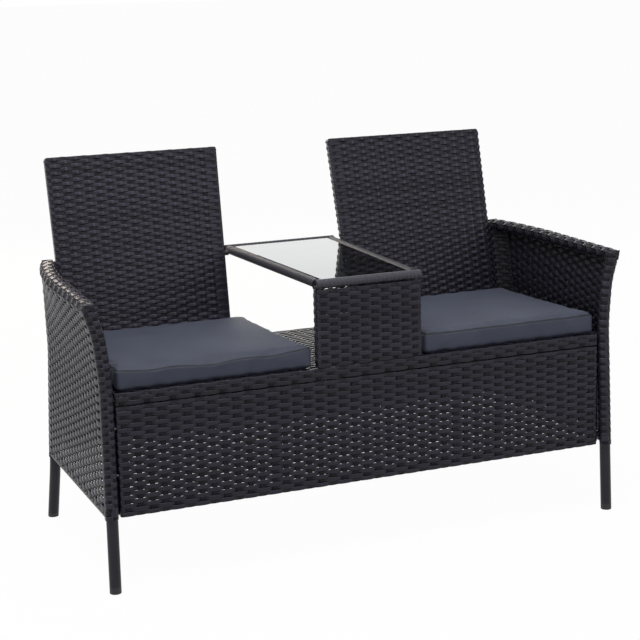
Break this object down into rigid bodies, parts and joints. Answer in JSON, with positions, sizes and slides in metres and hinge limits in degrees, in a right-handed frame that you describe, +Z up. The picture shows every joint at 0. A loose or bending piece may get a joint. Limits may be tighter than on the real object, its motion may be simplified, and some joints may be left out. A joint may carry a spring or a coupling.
{
  "type": "companion seat bench",
  "caption": "Woven patio bench with side-by-side reclined backs, curved arms, loose box cushions and a small glass-topped table between the seats.",
  "frame": {"origin": "on the floor, in the middle of the bench's plan", "axes": "+X to the right-hand end seen from the front, -Y is the front, +Z up"},
  "size_m": [1.27, 0.6029, 0.857],
  "materials": {
    "strand": "flat charcoal polyethylene strand with a satin sheen",
    "frame_steel": "smooth charcoal powder coat, satin",
    "cushion_fabric": "woven blue-grey polyester",
    "glass": "clear tempered glass with ground edges",
    "cap_plastic": "moulded black plastic",
    "pad_rubber": "soft dark rubber",
    "fastener_steel": "dark zinc plate"
  },
  "bodies": {
    "bench": {"apron_bottom_rail": "frame_steel", "apron_stiles": "frame_steel", "apron_top_rail": "frame_steel", "apron_weave": "strand", "back_bolts": "fastener_steel", "glass_bars": "frame_steel", "glass_pads": "pad_rubber", "left_arm_rail": "frame_steel", "left_arm_wrap": "strand", "left_back_rails": "frame_steel", "left_back_stiles": "frame_steel", "left_back_weave": "strand", "left_end_rail": "frame_steel", "left_front_cap": "cap_plastic", "left_front_leg": "frame_steel", "left_leg_wraps": "strand", "left_lower_rail": "frame_steel", "left_rear_cap": "cap_plastic", "left_rear_leg": "frame_steel", "left_side_weave": "strand", "panel_bolts": "fastener_steel", "right_arm_rail": "frame_steel", "right_arm_wrap": "strand", "right_back_rails": "frame_steel", "right_back_stiles": "frame_steel", "right_back_weave": "strand", "right_end_rail": "frame_steel", "right_front_cap": "cap_plastic", "right_front_leg": "frame_steel", "right_leg_wraps": "strand", "right_lower_rail": "frame_steel", "right_rear_cap": "cap_plastic", "right_rear_leg": "frame_steel", "right_side_weave": "strand", "rivet_nuts": "fastener_steel", "seat_cross_bars": "frame_steel", "seat_end_rails": "frame_steel", "seat_front_rail": "frame_steel", "seat_rear_rail": "frame_steel", "seat_weave": "strand", "side_bolts": "fastener_steel", "skirt_bolts": "fastener_steel", "skirt_bottom_rail": "frame_steel", "skirt_stiles": "frame_steel", "skirt_top_rail": "frame_steel", "skirt_weave": "strand", "table_bolts": "fastener_steel", "table_front_rail": "frame_steel", "table_left_rail": "frame_steel", "table_panel_rails": "frame_steel", "table_panel_weave": "strand", "table_rear_rail": "frame_steel", "table_right_rail": "frame_steel", "table_spacers": "cap_plastic", "table_uprights": "frame_steel", "table_wraps": "strand", "tie_bolts": "fastener_steel"},
    "left_cushion": {"left_cushion": "cushion_fabric"},
    "right_cushion": {"right_cushion": "cushion_fabric"},
    "glass": {"glass_top": "glass"}
  },
  "joints": [
    {"name": "left_cushion_slide", "type": "slide", "parent": "bench", "child": "left_cushion", "axis": [0, -0.985, 0.1726], "range_m": [0, 0.46]},
    {"name": "right_cushion_slide", "type": "slide", "parent": "bench", "child": "right_cushion", "axis": [0, -0.985, 0.1726], "range_m": [0, 0.46]},
    {"name": "glass_lift", "type": "slide", "parent": "bench", "child": "glass", "axis": [0, 0, 1], "range_m": [0, 0.1]}
  ]
}
